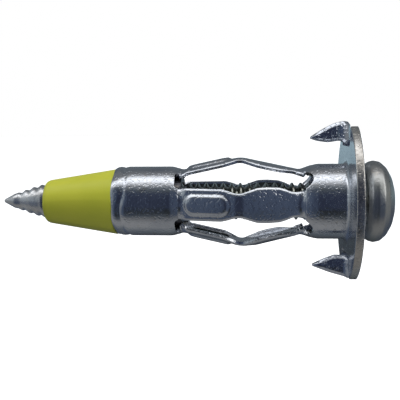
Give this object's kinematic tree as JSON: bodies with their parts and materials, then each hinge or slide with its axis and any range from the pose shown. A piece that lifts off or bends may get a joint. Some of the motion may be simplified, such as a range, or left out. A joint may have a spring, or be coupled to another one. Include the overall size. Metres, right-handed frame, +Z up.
{
  "type": "wall anchor",
  "caption": "Drive-in hollow wall anchor: pointed screw through a pronged flange and slotted steel sleeve with folding legs, a nut barrel and a plastic tip cone.",
  "frame": {"origin": "centre of the wall-side face of the flange, on the axis of the hole in the wall", "axes": "+X along the anchor's axis out of the wall towards the screw head, +Z up along the line of the two prongs"},
  "size_m": [0.0369, 0.0144, 0.0141],
  "materials": {
    "sleeve_steel": "bright zinc plate, blue passivated",
    "screw_steel": "zinc plate, slightly olive",
    "nut_steel": "plain zinc plate",
    "tip_plastic": "yellow-green moulded plastic, semi-gloss"
  },
  "bodies": {
    "flange_end": {"flange_and_collar": "sleeve_steel"},
    "screw": {"screw": "screw_steel"},
    "top_collar_half": {"top_leg_collar_half": "sleeve_steel"},
    "top_nut_half": {"top_leg_nut_half": "sleeve_steel"},
    "near_collar_half": {"near_leg_collar_half": "sleeve_steel"},
    "near_nut_half": {"near_leg_nut_half": "sleeve_steel"},
    "nut_end": {"nut_barrel": "sleeve_steel", "captive_nut": "nut_steel", "tip_cone": "tip_plastic"},
    "bottom_collar_half": {"bottom_leg_collar_half": "sleeve_steel"},
    "bottom_nut_half": {"bottom_leg_nut_half": "sleeve_steel"},
    "far_collar_half": {"far_leg_collar_half": "sleeve_steel"},
    "far_nut_half": {"far_leg_nut_half": "sleeve_steel"}
  },
  "joints": [
    {"name": "screw_spin", "type": "hinge", "parent": "flange_end", "child": "screw", "pos_m": [0, 0, 0], "axis": [-1, 0, 0], "range_deg": [0, 2880]},
    {"name": "top_collar_fold", "type": "hinge", "parent": "flange_end", "child": "top_collar_half", "pos_m": [-0.00445, 0, 0.00279], "axis": [0, 1, 0], "range_deg": [0, 56.2]},
    {"name": "top_knee_fold", "type": "hinge", "parent": "top_collar_half", "child": "top_nut_half", "pos_m": [-0.00965, 0, 0.00384], "axis": [0, 1, 0], "range_deg": [-112.4, 0]},
    {"name": "near_collar_fold", "type": "hinge", "parent": "flange_end", "child": "near_collar_half", "pos_m": [-0.00445, -0.00279, 0], "axis": [0, 0, 1], "range_deg": [0, 56.2]},
    {"name": "near_knee_fold", "type": "hinge", "parent": "near_collar_half", "child": "near_nut_half", "pos_m": [-0.00965, -0.00384, 0], "axis": [0, 0, 1], "range_deg": [-112.4, 0]},
    {"name": "near_nut_fold", "type": "hinge", "parent": "near_nut_half", "child": "nut_end", "pos_m": [-0.01485, -0.00279, 0], "axis": [0, 0, 1], "range_deg": [0, 56.2]},
    {"name": "bottom_collar_fold", "type": "hinge", "parent": "flange_end", "child": "bottom_collar_half", "pos_m": [-0.00445, 0, -0.00279], "axis": [0, -1, 0], "range_deg": [0, 56.2]},
    {"name": "bottom_knee_fold", "type": "hinge", "parent": "bottom_collar_half", "child": "bottom_nut_half", "pos_m": [-0.00965, 0, -0.00384], "axis": [0, -1, 0], "range_deg": [-112.4, 0]},
    {"name": "far_collar_fold", "type": "hinge", "parent": "flange_end", "child": "far_collar_half", "pos_m": [-0.00445, 0.00279, 0], "axis": [0, 0, -1], "range_deg": [0, 56.2]},
    {"name": "far_knee_fold", "type": "hinge", "parent": "far_collar_half", "child": "far_nut_half", "pos_m": [-0.00965, 0.00384, 0], "axis": [0, 0, -1], "range_deg": [-112.4, 0]}
  ],
  "couplings": [
    {"joint": "top_collar_fold", "follows": "screw_spin", "ratio": 0.019494},
    {"joint": "top_knee_fold", "follows": "screw_spin", "ratio": -0.038989},
    {"joint": "near_collar_fold", "follows": "screw_spin", "ratio": 0.019494},
    {"joint": "near_knee_fold", "follows": "screw_spin", "ratio": -0.038989},
    {"joint": "near_nut_fold", "follows": "screw_spin", "ratio": 0.019494},
    {"joint": "bottom_collar_fold", "follows": "screw_spin", "ratio": 0.019494},
    {"joint": "bottom_knee_fold", "follows": "screw_spin", "ratio": -0.038989},
    {"joint": "far_collar_fold", "follows": "screw_spin", "ratio": 0.019494},
    {"joint": "far_knee_fold", "follows": "screw_spin", "ratio": -0.038989}
  ]
}
